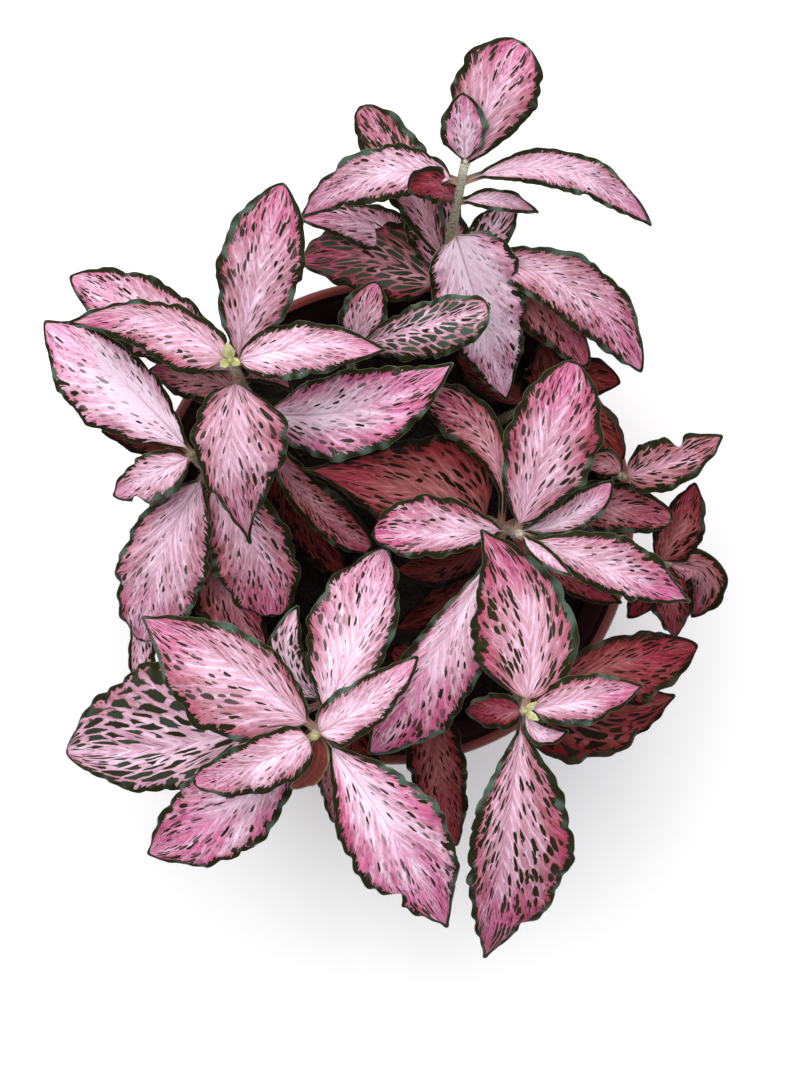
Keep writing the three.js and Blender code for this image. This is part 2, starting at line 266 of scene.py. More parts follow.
# Pinks: palest along the middle towards the base, hottest at the tip and the margin, with a net of fine veins
def leafPinks(tree, leaf, flat, bent, streak, cells, lines, outer):
    clouds = noiseAt(tree, flat, 0.35)
    ridge = work(tree, "ABSOLUTE", work(tree, "SINE", times(tree, split(tree, bent)[0], math.pi / 1.3)))
    ridge = times(tree, fade(tree, ridge, 0.70, 0.0), fade(tree, leaf["side"], 1.0, 0.55))
    extra = work(tree, "MAXIMUM", minus(tree, leaf["heat"], 1.0), 0.0)
    heat = scaled(tree, outer, leaf["heat"], times(tree, extra, 0.8))
    shares = leafSkin["lightness"]
    lightness = scaled(tree, leaf["pale"], shares["pale"], shares["start"])
    parts = {
        "middle": minus(tree, 1.0, work(tree, "POWER", leaf["side"], 1.4)), "heat": heat,
        "streak": minus(tree, streak, 0.5), "clouds": minus(tree, clouds, 0.5),
        "ridge": minus(tree, ridge, 0.3), "lines": minus(tree, lines, 0.4),
        "veins": fade(tree, cells, 0.28, 0.0),
    }
    for name, part in parts.items():
        lightness = scaled(tree, part, shares[name], lightness)
    colour = ramp(tree, lightness, leafSkin["ramp"])
    hot = times(tree, fade(tree, heat, 0.10, 0.75), fade(tree, clouds, 0.72, 0.42))
    colour = blend(tree, hot, colour, ramp(tree, lightness, leafSkin["hotRamp"]))
    ribWidth = scaled(tree, leaf["along"], -0.30, 0.42)
    rib = fade(tree, work(tree, "DIVIDE", leaf["offRib"], ribWidth), 1.0, 0.3)
    rib = times(tree, rib, fade(tree, leaf["along"], 0.75, 0.1), 0.55)
    return blend(tree, rib, colour, leafSkin["midrib"])


# Islands of green between the veins: rounded ones by chance, close ones on the greenest leaves, and dashes
def leafIslands(tree, leaf, bent, streak, cells, outer, narrow, colour):
    form = leafSkin["islands"]
    nearest = cellAt(tree, bent, "F1", "Distance")
    draw = cellDraws(tree, bent)
    clear = times(tree, fade(tree, leaf["side"], 0.15, 0.02), fade(tree, leaf["green"], 1.3, 0.6))
    clear = scaled(tree, narrow, 0.22, clear)
    size = scaled(tree, leaf["green"], form["green"], scaled(tree, draw[0], form["chance"], form["start"]))
    size = scaled(tree, outer, form["outer"], minus(tree, size, clear))
    rough = times(tree, minus(tree, streak, 0.5), 0.07)
    spot = fade(tree, work(tree, "ADD", minus(tree, size, nearest), rough), 0.0, 0.06)
    vein = scaled(tree, fade(tree, leaf["green"], 0.80, 1.20), -0.08, form["vein"])
    crowd = minus(tree, scaled(tree, draw[0], -0.10, cells), work(tree, "ADD", clear, vein))
    crowd = fade(tree, work(tree, "ADD", crowd, rough), 0.0, 0.05)
    island = mixed(tree, fade(tree, leaf["green"], 0.80, 0.90), spot, crowd)
    soft = times(tree, fade(tree, leaf["pale"], 0.40, 0.80), fade(tree, outer, 0.95, 0.25),
                 fade(tree, draw[1], 0.15, 0.75), fade(tree, leaf["green"], 0.75, 0.55))
    islandColour = blend(tree, times(tree, soft, 0.9), leafSkin["island"], leafSkin["paleIsland"])
    # painted sheen on the islands of the greenest leaves, stronger on some cells than on others
    paintedIslandSheen = times(tree, fade(tree, leaf["green"], 0.80, 1.25), draw[2])
    islandColour = blend(tree, paintedIslandSheen, islandColour, leafSkin["paintedSheen"])
    island = times(tree, island, scaled(tree, soft, -0.40, 1.0))
    colour = blend(tree, island, colour, islandColour)
    form = leafSkin["dashes"]
    fine = stretched(tree, bent, 2.3, 1.6, 1)
    dashSize = scaled(tree, cellDraws(tree, fine)[0], form["chance"], form["start"])
    dash = fade(tree, minus(tree, dashSize, cellAt(tree, fine, "F1", "Distance")), 0.0, 0.08)
    dash = times(tree, dash, scaled(tree, outer, form["outer"], form["inner"]), minus(tree, 1.0, narrow))
    return blend(tree, dash, colour, islandColour), island


# Green margin with pink spikes running into it, a painted teal sheen in patches along it, a little more on
# the crests of its small waves, and a pale line at the edge
def leafMargin(tree, leaf, flat, bent, gaps, half, colour):
    share = leafSkin["gapShare"]
    wide = noiseAt(tree, stretched(tree, bent, 2.6, 0.5, 1), 1.0, 1)
    spikes = scaled(tree, fade(tree, gaps, 0.04, 0.36), share, fade(tree, wide, 0.32, 0.70))
    band = scaled(tree, spikes, leafSkin["spike"] / (1 + share), leafSkin["margin"])
    band = scaled(tree, minus(tree, noiseAt(tree, flat, 0.28), 0.5), leafSkin["swell"], band)
    band = scaled(tree, leaf["pale"], -0.20, band)
    green = work(tree, "MINIMUM", leaf["green"], minus(tree, 1.35, leaf["green"]))
    band = work(tree, "MAXIMUM", scaled(tree, green, 0.80, band), leafSkin["margin"])
    most = work(tree, "MAXIMUM", scaled(tree, half, 0.26, 0.16), 0.85)
    band = work(tree, "MINIMUM", band, most)
    margin = fade(tree, minus(tree, band, leaf["edge"]), 0.0, 0.12)
    # painted sheen: teal patches along the margin, a little more on the crests of the small waves
    paintedGlint = fade(tree, scaled(tree, leaf["crest"], 0.10, noiseAt(tree, flat, 0.17)), 0.57, 0.71)
    paintedGlint = times(tree, paintedGlint, scaled(tree, noiseAt(tree, flat, 5.0), 0.8, 0.35))
    marginColour = blend(tree, paintedGlint, leafSkin["green"], leafSkin["paintedSheen"])
    colour = blend(tree, margin, colour, marginColour)
    line = times(tree, fade(tree, leaf["edge"], leafSkin["edgeLine"], 0.04), 0.75)
    return blend(tree, line, colour, leafSkin["edge"]), margin


def leafMaterial():
    material, tree, shader = newMaterial("leafSkin", Specular_IOR_Level=0.07)
    leaf = leafAttributes(tree)
    flat, bent = leafPattern(tree, leaf)
    half = work(tree, "ADD", leaf["edge"], leaf["offRib"])
    narrow = times(tree, fade(tree, half, 4.2, 1.2), fade(tree, leaf["along"], 0.5, 0.8))
    calm = times(tree, narrow, 0.8)
    streak = noiseAt(tree, stretched(tree, bent, 5.5, 0.7, 1), 1.0, 3, 0.6)
    streak = mixed(tree, calm, fade(tree, streak, 0.28, 0.72), 0.5)
    cells = cellAt(tree, bent, "DISTANCE_TO_EDGE", "Distance")
    gaps = cellAt(tree, stretched(tree, bent, 3.1, 0.50, 1), "DISTANCE_TO_EDGE", "Distance")
    lines = times(tree, fade(tree, gaps, 0.38, 0.02), minus(tree, 1.0, calm))
    tipward = fade(tree, leaf["along"], 0.36, 1.0)
    outer = work(tree, "MAXIMUM", tipward, work(tree, "POWER", leaf["side"], 2.2))
    colour = leafPinks(tree, leaf, flat, bent, streak, cells, lines, outer)
    colour, island = leafIslands(tree, leaf, bent, streak, cells, outer, narrow, colour)
    colour, margin = leafMargin(tree, leaf, flat, bent, gaps, half, colour)
    colour = blend(tree, fade(tree, leaf["along"], 0.10, 0.02), colour, leafSkin["stalk"])
    # painted shade: leaves deep in the plant are darkened and browned, and past 1 darkened further towards
    # black
    shaded = blend(tree, 1.0, colour, leafSkin["paintedShade"], "MULTIPLY")
    colour = blend(tree, work(tree, "MINIMUM", leaf["paintedShade"], 1.0), colour, shaded)
    dim = work(tree, "MAXIMUM", minus(tree, leaf["paintedShade"], 1.0), 0.0)
    colour = blend(tree, dim, colour, (0, 0, 0))
    veins = work(tree, "MAXIMUM", fade(tree, leaf["offRib"], 0.5, 0.1), fade(tree, cells, 0.10, 0.0))
    underColour = blend(tree, times(tree, veins, 0.5), leafSkin["under"], leafSkin["underVein"])
    underColour = blend(tree, fade(tree, leaf["edge"], 0.45, 0.20), underColour, leafSkin["edge"])
    colour = blend(tree, fade(tree, leaf["under"], 0.5, 0.6), colour, underColour)
    rough = scaled(tree, island, -0.10, scaled(tree, margin, -0.06, 0.55))
    height = scaled(tree, streak, 0.12, work(tree, "MINIMUM", cells, 0.3))
    height = scaled(tree, lines, 0.10, height)
    feed(tree, shader, Base_Color=colour, Roughness=rough, Normal=bumped(tree, height, 0.25, 0.5))
    return material


# Stem, stalk, hair and bud skins
stemSkin = {"pale": (0.330, 0.320, 0.215), "dark": (0.150, 0.120, 0.070), "blush": (0.240, 0.110, 0.085),
            "young": (0.500, 0.500, 0.390), "youngFrom": 152, "youngTo": 174}
stalkSkin = {"pink": (0.330, 0.150, 0.150), "pale": (0.300, 0.210, 0.140)}
hairSkin = {"base": (0.42, 0.40, 0.32), "tip": (0.70, 0.70, 0.62)}
budSkin = {"pale": (0.590, 0.570, 0.300), "dark": (0.330, 0.320, 0.110)}


def stemMaterial():
    material, tree, shader = newMaterial("stemSkin", Roughness=0.6, Specular_IOR_Level=0.3)
    spot = objectPlace(tree)
    grain = noiseAt(tree, stretched(tree, spot, 2600, 2600, 260), 1.0, 3, 0.6)
    patches = noiseAt(tree, spot, 180)
    colour = blend(tree, fade(tree, grain, 0.35, 0.7), stemSkin["dark"], stemSkin["pale"])
    colour = blend(tree, fade(tree, patches, 0.5, 0.75), colour, stemSkin["blush"])
    young = fade(tree, split(tree, spot)[2], stemSkin["youngFrom"] * mm, stemSkin["youngTo"] * mm)
    young = times(tree, young, fade(tree, grain, 0.25, 0.60))
    colour = blend(tree, young, colour, stemSkin["young"])
    feed(tree, shader, Base_Color=colour, Normal=bumped(tree, grain, 0.4, 0.2))
    return material


def stalkMaterial():
    material, tree, shader = newMaterial("stalkSkin", Roughness=0.6, Specular_IOR_Level=0.2)
    patches = noiseAt(tree, objectPlace(tree), 420, 3, 0.6)
    colour = blend(tree, fade(tree, patches, 0.35, 0.65), stalkSkin["pink"], stalkSkin["pale"])
    feed(tree, shader, Base_Color=colour)
    return material


def hairMaterial():
    material, tree, shader = newMaterial("hairSkin", Roughness=0.7, Specular_IOR_Level=0.2)
    spread = noiseAt(tree, objectPlace(tree), 900, 1)
    feed(tree, shader, Base_Color=blend(tree, spread, hairSkin["base"], hairSkin["tip"]))
    return material


def budMaterial():
    material, tree, shader = newMaterial("budSkin", Roughness=0.5, Specular_IOR_Level=0.4)
    patches = noiseAt(tree, objectPlace(tree), 600, 3, 0.6)
    colour = blend(tree, fade(tree, patches, 0.35, 0.65), budSkin["dark"], budSkin["pale"])
    feed(tree, shader, Base_Color=colour, Normal=bumped(tree, patches, 0.4, 0.2))
    return material


skins = [leafMaterial(), stemMaterial(), stalkMaterial(), hairMaterial(), budMaterial()]
leafSlot, stemSlot, stalkSlot, hairSlot, budSlot = range(5)
print("leaf, stem, stalk, hair and bud skins made")


# Leaves
# The blades keep the form of the solids: the same middle line, width, fold and long waves. The finer waves,
# the scalloped edge, the sunk veins and the puckers between them are added here.
leafForm = {
    "thickness": 0.5,
    "stalkShare": 0.06,    # share of the length that the stalk takes
    "fold": 0.22,
    "curl": 0.16,
    "waveHeight": 0.7,
    "waveWidth": 0.035,
    "stalkHalfWidth": 0.9,
    "tipHalfWidth": 0.3,
    "tipRound": 1.1,       # how full the tip is, and over what length
    "tipLength": 1.5,
    "fullWidth": 16,       # from this width on the fine forms have their full size
    "mediumLeaf": 12,      # from this width on a leaf has four long waves, and below it three
    "scallop": 0.50,       # depth of the notches in the edge
    "scallopPitch": 5.2,   # length of one scallop
    "jag": 0.34,           # depth of its finer unevenness
    "ruffle": 0.50,        # height of the small waves at the edge
    "droop": 0.35,         # how far the edge turns down, and over which share of the half width
    "droopShare": 0.28,
    "ribGroove": 0.28,
    "grooveWidth": 0.5,
    "pucker": 0.16,
    "rowPitch": 0.62,
    "columnPitch": 0.52,
    "veinStart": 2.7,      # cotangent of a side vein's angle at the midrib
    "veinEnd": 0.7,        # and at the margin
    "cellAcross": 2.7,     # size of a pattern cell on a leaf 20 mm wide
    "cellAlong": 3.1,
    "largeCells": ("celled", "mossy", "vivid", "netted"),
    "largeCell": 1.5,      # how much larger the cells of these looks are
}

# Paleness, greenness, heat and painted shade of a leaf; the painted shade darkens and browns a leaf deep in
# the plant, and over 1 darkens it further towards black
leafLooks = {
    "cream": (0.96, 0.20, 0.66, 0.0),
    "pale": (0.69, 0.28, 0.56, 0.0),
    "blush": (0.82, 0.48, 1.15, 0.0),
    "flushed": (0.56, 0.34, 0.80, 0.0),
    "rosy": (0.54, 0.44, 0.62, 0.0),
    "spotted": (0.50, 0.73, 0.90, 0.0),
    "vivid": (0.38, 1.12, 1.00, 0.55),
    "magenta": (0.34, 0.74, 0.40, 0.15),
    "celled": (0.70, 0.94, 0.34, 0.0),
    "mossy": (0.56, 1.04, 0.20, 0.0),
    "dusky": (0.42, 0.50, 0.55, 0.55),
    "wine": (0.27, 0.52, 1.00, 0.85),
    "netted": (0.36, 0.88, 0.90, 0.95),
    "deep": (0.20, 0.60, 0.60, 1.20),
    "night": (0.22, 0.60, 0.40, 1.55),
    "ruby": (0.22, 0.36, 1.55, 0.60),
    "turned": (0.50, 0.50, 0.50, 0.15),
}


# The columns of a leaf row, which are explained over the rows, and the usual values of the last ones
leafColumns = ("at", "x", "y", "z", "wide", "arch", "bow", "look", "widest", "taper", "skew", "bites", "roll")
usualLeaf = {"widest": 0.45, "taper": 1.4, "skew": 0, "bites": (), "roll": 0}


# The middle line of a leaf: a point on it, and the directions to the side and out of the blade
def leafLine(leaf, along):
    run, flat = leaf["run"], leaf["flat"]
    ahead = Vector((run.x / flat, run.y / flat, 0))
    aside = Vector((-ahead.y, ahead.x, 0))
    rise = Vector((0, 0, 1))
    hump = 4 * along * (1 - along)
    slope = 4 * (1 - 2 * along)
    point = leaf["base"] + ahead * (flat * along) + aside * (leaf["bow"] * hump)
    point += rise * (run.z * along + leaf["arch"] * hump)
    heading = ahead * flat + aside * (leaf["bow"] * slope) + rise * (run.z + leaf["arch"] * slope)
    heading.normalize()
    level = Vector((-heading.y, heading.x, 0)).normalized()
    lift = heading.cross(level)
    turn = math.radians(leaf["roll"]) * (0.35 + 0.65 * along)
    side = level * math.cos(turn) + lift * math.sin(turn)
    out = lift * math.cos(turn) - level * math.sin(turn)
    return point, side, out


# How full the blade is at a place along it, and its least half width there
def leafWidth(leaf, along):
    form, widest = leafForm, leaf["widest"]
    share = min(1, max(0, (along - form["stalkShare"]) / (1 - form["stalkShare"])))
    fullness = ((share / widest) ** widest * ((1 - share) / (1 - widest)) ** (1 - widest)) ** leaf["taper"]
    least = leaf["least"] if along < 0.5 else form["tipHalfWidth"]
    return fullness, least


def readLeaf(stem, row, seed):
    leaf = {**usualLeaf, **dict(zip(leafColumns, row)), "seed": seed, "ripple": 1}
    base = stemPoint(stem, leaf["at"])
    run = Vector((leaf["x"], leaf["y"], leaf["z"])) - base
    leaf.update(base=base, run=run, flat=math.hypot(run.x, run.y), long=run.length)
    leaf["waves"] = 4 if leaf["wide"] >= leafForm["mediumLeaf"] else 3
    leaf["least"] = leafForm["stalkHalfWidth"]
    return leaf


# Place in the vein pattern, in cells: where the side vein through it starts, and how far out along it
def patternPlace(leaf, along, across):
    form = leafForm
    side = abs(across)
    half = leaf["wide"] / 2
    bend = (form["veinStart"] - form["veinEnd"]) / 2
    climb = half * (form["veinStart"] * side - bend * side * side)
    steep, shallow = math.hypot(1, form["veinStart"]), math.hypot(1, form["veinEnd"])
    travel = half * (steep * side - (steep - shallow) / 2 * side * side)
    size = (leaf["wide"] / 20) ** 0.5 * (form["largeCell"] if leaf["look"] in form["largeCells"] else 1)
    shift = 37.3 * leaf["seed"]
    q = (leaf["long"] * along - climb) / (form["cellAcross"] * size) + shift
    a = math.copysign(travel, across) / (form["cellAlong"] * size) + 5.1 * leaf["seed"]
    return q, a


# Half width, height over the middle line, crest of the small waves, and place in the vein pattern
def leafSurface(leaf, along, across):
    form = leafForm
    hand = 1 if across > 0 else -1
    side = abs(across)
    fullness, least = leafWidth(leaf, along)
    wave = math.cos(2 * math.pi * leaf["waves"] * along) * across
    half = leaf["wide"] / 2 * fullness * (1 + hand * leaf["skew"]) * (1 + form["waveWidth"] * wave * side)
    scale = min(1, leaf["wide"] / form["fullWidth"])
    body = min(1, fullness * 1.6) * leaf["ripple"]

    drift = noise.noise(Vector((along * 3.1, leaf["seed"] * 1.7, hand * 3.0)))
    pitch = form["scallopPitch"] * (0.6 + 0.4 * scale)
    beat = leaf["long"] * along / pitch + 0.8 * drift + leaf["seed"] * hand
    scallop = abs(math.sin(math.pi * beat)) - 0.62
    jag = noise.noise(Vector((along * leaf["long"] * 0.55, leaf["seed"] + 9, hand * 5.0)))
    half += (form["scallop"] * scallop + form["jag"] * jag) * scale * body * side ** 3
    for centre, width, depth, biteHand in leaf["bites"]:
        if biteHand == hand:
            half -= depth * math.exp(-((along - centre) / width) ** 2) * side ** 2
    toTip = (1 - along) * leaf["long"]
    blunt = form["tipRound"] * scale * math.sqrt(toTip) * math.exp(-toTip / form["tipLength"])
    half = max(least, math.hypot(half, blunt))

    q, a = patternPlace(leaf, along, across)
    height = form["fold"] * side * half - form["curl"] * side ** 3 * half
    height += form["waveHeight"] * wave * side * fullness * leaf["ripple"]
    ruffle = math.sin(2 * math.pi * (beat + 0.3 * hand))
    height += form["ruffle"] * scale * body * ruffle * side ** 4
    outer = max(0, side - (1 - form["droopShare"])) / form["droopShare"]
    height -= form["droop"] * scale * body * outer
    offRib = side * half
    height -= form["ribGroove"] * math.exp(-(offRib / form["grooveWidth"]) ** 2) * body
    height += form["pucker"] * body * noise.noise(Vector((q * 1.1, a * 0.8, leaf["seed"]))) * min(1, offRib)
    crest = 0.5 + 0.5 * ruffle
    return half, height, crest, (q, a)


def growLeaf(mesh, stem, row, seed, slot=leafSlot, thickness=leafForm["thickness"]):
    form = leafForm
    leaf = readLeaf(stem, row, seed)
    if slot == budSlot:
        leaf["least"] = budForm["leastHalfWidth"]
        leaf["ripple"] = budForm["ripple"]
    columns = 2 * max(5, round(leaf["wide"] / form["columnPitch"] / 2))
    rows = max(10, round(leaf["long"] / form["rowPitch"]))
    layers = {name: mesh.verts.layers.float_vector[name] for name in ("blade", "veins", "look", "tone")}
    pale, green, heat, paintedShade = leafLooks[leaf["look"]]
    vary = random.Random(round(seed * 1000))
    pale, green = pale + vary.uniform(-0.06, 0.06), green + vary.uniform(-0.06, 0.06)
    sheet = bmesh.ops.create_grid(mesh, x_segments=columns, y_segments=rows, size=0.5)["verts"]
    lines = {}
    for vert in sheet:
        along = vert.co.y + 0.5
        spread = 2 * abs(vert.co.x)
        # columns lie closer together towards the edge
        across = -math.copysign(spread * (1.25 - 0.25 * spread), vert.co.x)
        key = round(along * rows)
        if key not in lines:
            lines[key] = leafLine(leaf, along)
        point, side, out = lines[key]
        half, height, crest, place = leafSurface(leaf, along, across)
        fromEdge = min((1 - abs(across)) * half, (1 - along) * leaf["long"])
        vert[layers["blade"]] = (across, along, fromEdge)
        vert[layers["veins"]] = (*place, across * half)
        vert[layers["look"]] = (pale, green, heat)
        vert[layers["tone"]] = (paintedShade, crest, leaf["look"] == "turned")
        vert.co = (point + side * (across * half) + out * (height + thickness / 2)) * mm
    faces = list(facesOf(sheet))
    for face in faces:
        face.material_index = slot
        face.normal_update()
    for vert in sheet:
        vert.normal_update()
    made = bmesh.ops.solidify(mesh, geom=faces, thickness=thickness * mm)["geom"]
    for part in made:
        if isinstance(part, bmesh.types.BMVert):
            part[layers["tone"]] = (paintedShade, 0, 1)
        elif isinstance(part, bmesh.types.BMFace):
            part.material_index = slot
    if slot == leafSlot:
        growStalk(mesh, leaf)


# Stalks, stems and buds
stalkForm = {"base": 0.70, "blade": 0.42, "tip": 0.14, "sides": 8, "sink": 0.46, "steps": 12, "reach": 0.86,
             "thinBy": 0.13}   # share of the leaf at which it is as thin as under the blade
stemForm = {"radius": 1.15, "taper": 0.32, "node": 0.22, "nodeLength": 3, "sides": 12, "steps": 26,
            "long": 60,    # length by which the swollen nodes are spaced
            "foot": 63, "neck": 74, "start": 82}   # heights in the compost, and where the bend begins
hairForm = {"count": 220, "length": 0.8, "radius": 0.035, "tip": 0.006, "lean": 0.6, "sunk": 0.8,
            "reach": 0.98, "crowding": 1.2}        # share of the stem that has hairs, most near its tip

# Leaflets of each kind of bud (reach, rise, width and turn), and sizes
budForm = {
    "pair": [(3.4, 1.6, 1.7, -34), (3.2, 1.8, 1.6, 38)],
    "spire": [(3.6, 3.4, 2.7, 0), (2.4, 0.7, 2.1, 112), (2.3, 0.7, 2.0, 248)],
    "knob": [],
    "hidden": [],
    "knobRadius": 0.88,
    "heartRadius": 0.62,
    "thickness": 0.28,
    "leastHalfWidth": 0.3,
    "ripple": 0.15,        # how much of a leaf's unevenness its leaflets have
}


# A closed tube: one ring is drawn along the points, turned and sized as it goes
def growTube(mesh, points, radii, sides, slot):
    ring = bmesh.ops.create_circle(mesh, cap_ends=True, radius=1, segments=sides)["verts"]
    frameNow = Matrix.Identity(3)
    heading = Vector((0, 0, 1))
    local = {vert: vert.co.copy() for vert in ring}
    faces = set(ring[0].link_faces)
    for index, (point, radius) in enumerate(zip(points, radii)):
        ahead = points[min(index + 1, len(points) - 1)] - points[max(index - 1, 0)]
        frameNow = heading.rotation_difference(ahead).to_matrix() @ frameNow
        heading = ahead.normalized()
        if index:
            edges = [edge for edge in {e for vert in ring for e in vert.link_edges}
                     if edge.verts[0] in local and edge.verts[1] in local]
            grown = bmesh.ops.extrude_edge_only(mesh, edges=edges)["geom"]
            faces.update(part for part in grown if isinstance(part, bmesh.types.BMFace))
            fresh = [part for part in grown if isinstance(part, bmesh.types.BMVert)]
            pairs = {}
            for vert in fresh:
                for edge in vert.link_edges:
                    other = edge.other_vert(vert)
                    if other in local:
                        pairs[vert] = local[other]
            local = pairs
            ring = fresh
        for vert in ring:
            vert.co = (point + frameNow @ (local[vert] * radius)) * mm
    faces.add(mesh.faces.new(sorted(ring, key=lambda vert: math.atan2(local[vert].y, local[vert].x))))
    bmesh.ops.recalc_face_normals(mesh, faces=list(faces))
    for face in faces:
        face.material_index = slot
        face.smooth = True


def growStalk(mesh, leaf):
    form, thinBy = stalkForm, stalkForm["thinBy"]
    points, radii = [], []
    for step in range(form["steps"] + 1):
        along = form["reach"] * step / form["steps"]
        point, _, out = leafLine(leaf, along)
        share = min(1, along / thinBy)
        radius = form["base"] + (form["blade"] - form["base"]) * share
        radius += (form["tip"] - form["blade"]) * max(0, along - thinBy) / (form["reach"] - thinBy)
        radius *= min(1, 0.5 + leaf["wide"] / 30)
        points.append(point - out * (form["sink"] * share + radius * 0.5 * share))
        radii.append(radius)
    growTube(mesh, points, radii, form["sides"], stalkSlot)


def stemPoint(stem, share):
    x, y = stem["root"]
    start = Vector((x, y, stemForm["start"]))
    bend = Vector(stem["bend"])
    return start.lerp(bend, share).lerp(bend.lerp(Vector(stem["tip"]), share), share)


def growStem(mesh, stem, vary):
    form = stemForm
    x, y = stem["root"]
    points = [Vector((x, y, form["foot"])), Vector((x, y, form["neck"]))]
    shares = [step / form["steps"] for step in range(form["steps"] + 1)]
    points += [stemPoint(stem, share) for share in shares]
    radii = [form["radius"]] * 2
    for share in shares:
        nearest = min(abs(share - row[0]) for row in stem["leaves"]) * form["long"]
        swell = form["node"] * math.exp(-(nearest / form["nodeLength"]) ** 2)
        radii.append(form["radius"] * (1 - form["taper"] * share ** 2) + swell)
    growTube(mesh, points, radii, form["sides"], stemSlot)
    for _ in range(hairForm["count"]):
        share = hairForm["reach"] - hairForm["reach"] * vary.random() ** hairForm["crowding"]
        centre = stemPoint(stem, share)
        ahead = (stemPoint(stem, min(1, share + 0.02)) - stemPoint(stem, share - 0.02)).normalized()
        around = vary.uniform(0, 2 * math.pi)
        level = ahead.orthogonal().normalized()
        outward = level * math.cos(around) + ahead.cross(level) * math.sin(around)
        lean = (outward + ahead * vary.uniform(-0.2, hairForm["lean"])).normalized()
        length = hairForm["length"] * vary.uniform(0.5, 1.2)
        middle = centre + outward * form["radius"] * hairForm["sunk"] + lean * length / 2
        turn = lean.to_track_quat("Z", "Y").to_matrix().to_4x4()
        hair = bmesh.ops.create_cone(mesh, cap_ends=True, segments=3, radius1=hairForm["radius"] * mm,
                                     radius2=hairForm["tip"] * mm, depth=length * mm,
                                     matrix=Matrix.Translation(middle * mm) @ turn)["verts"]
        for face in facesOf(hair):
            face.material_index = hairSlot


def growBud(mesh, stem, vary):
    x, y, z = stem["tip"]
    for reach, rise, wide, turn in budForm[stem["bud"]]:
        angle = math.radians(stem["budTurn"] + turn)
        tip = (x + reach * math.cos(angle), y + reach * math.sin(angle), z + rise)
        row = (1, *tip, wide, 0.5, 0, "pale", 0.45, 1.7)
        growLeaf(mesh, stem, row, vary.random() * 10, budSlot, budForm["thickness"])
    radius = budForm["knobRadius"] if stem["bud"] == "knob" else budForm["heartRadius"]
    knob = bmesh.ops.create_icosphere(mesh, subdivisions=3, radius=radius * mm,
                                      matrix=Matrix.Translation(Vector((x, y, z + radius)) * mm))["verts"]
    for face in facesOf(knob):
        face.material_index = stemSlot if stem["bud"] == "hidden" else budSlot
        face.smooth = True


